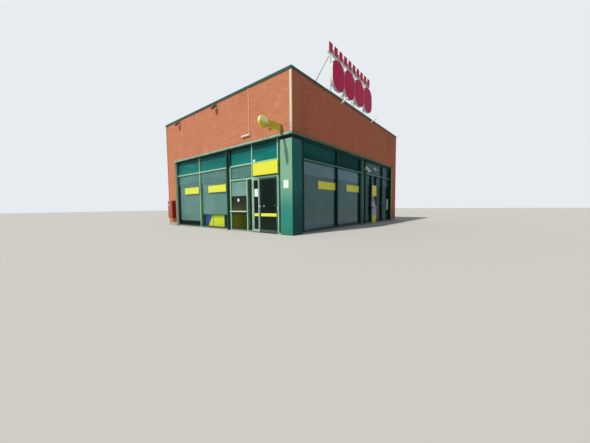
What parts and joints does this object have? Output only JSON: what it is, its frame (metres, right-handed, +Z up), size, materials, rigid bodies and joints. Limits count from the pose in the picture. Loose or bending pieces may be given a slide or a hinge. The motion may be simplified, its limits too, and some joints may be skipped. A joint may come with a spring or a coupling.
{
  "type": "post office building",
  "caption": "Single-storey corner post office with a brick parapet over green curtain walling, a pair of opening glazed doors and a roof sign frame.",
  "frame": {"origin": "centre of the plan at ground level", "axes": "+Z up, -Y out of the entrance face, +X out of the side street face, party walls at -X and +Y"},
  "size_m": [10.8574, 13.72, 9.16],
  "materials": {
    "brick": "matt orange-red facing brick",
    "party_brick": "matt plain brickwork",
    "concrete": "matt concrete",
    "ceiling_board": "matt ceiling tiles",
    "coping_metal": "dark green coated sheet",
    "fascia_metal": "light green coated sheet",
    "column_cladding": "green coated sheet",
    "light_bar_metal": "light green coated bars",
    "dark_bar_metal": "dark green gloss paint",
    "door_metal": "green coated door bars",
    "teal_panel": "teal panel",
    "dark_panel": "dark teal panel",
    "glass": "clear glass",
    "bare_steel": "satin metal",
    "white_steel": "white paint",
    "yellow_sign": "bare yellow sheet",
    "crimson_sign": "bare crimson face",
    "red_box": "red paint",
    "white_lamp": "white housing",
    "blind_cloth": "grey green cloth",
    "board_print": "blue and yellow sheet",
    "machine_body": "grey and yellow paint"
  },
  "bodies": {
    "building": {"front_brick_band": "brick", "side_brick_band": "brick", "front_pier": "brick", "side_pier": "brick", "west_party_wall": "party_brick", "back_party_wall": "party_brick", "floor_slab": "concrete", "roof_slab": "concrete", "front_lintel": "concrete", "side_lintel": "concrete", "glazing_sills": "concrete", "pier_plinths": "concrete", "suspended_ceiling": "ceiling_board", "parapet_coping": "coping_metal", "coping_straps": "coping_metal", "corner_trim": "coping_metal", "reveal_trims": "coping_metal", "fascia_strip": "fascia_metal", "corner_column": "column_cladding", "front_mullions": "light_bar_metal", "front_transoms": "light_bar_metal", "side_mullions": "light_bar_metal", "side_transoms": "light_bar_metal", "side_post": "light_bar_metal", "front_posts": "dark_bar_metal", "front_downpipe": "dark_bar_metal", "front_spandrels": "teal_panel", "side_spandrels": "dark_panel", "front_glass": "glass", "side_glass": "glass", "door_hinges": "bare_steel", "outside_lamps": "bare_steel", "screen_push_rail": "bare_steel", "roof_sign_posts": "white_steel", "roof_sign_rails": "white_steel", "roof_sign_stays": "white_steel", "roof_sign_feet": "white_steel", "door_sign_box": "yellow_sign", "window_strips": "yellow_sign", "projecting_sign": "yellow_sign", "roof_sign_plates": "crimson_sign", "letterbox": "red_box", "wall_lamp": "white_lamp", "wall_conduits": "white_lamp", "front_blinds": "blind_cloth", "side_blinds": "blind_cloth", "display_board": "board_print", "cash_machine": "machine_body"},
    "main_door": {"main_door_frame": "door_metal", "main_door_glass": "glass", "main_door_handle": "bare_steel"},
    "narrow_door": {"narrow_door_frame": "door_metal", "narrow_door_glass": "glass"}
  },
  "joints": [
    {"name": "main_door_hinge", "type": "hinge", "parent": "building", "child": "main_door", "pos_m": [4.346, -6.142, 1.2], "axis": [0, 0, 1], "range_deg": [0, 90]},
    {"name": "narrow_door_hinge", "type": "hinge", "parent": "building", "child": "narrow_door", "pos_m": [2.834, -6.142, 1.2], "axis": [0, 0, -1], "range_deg": [0, 90]}
  ]
}
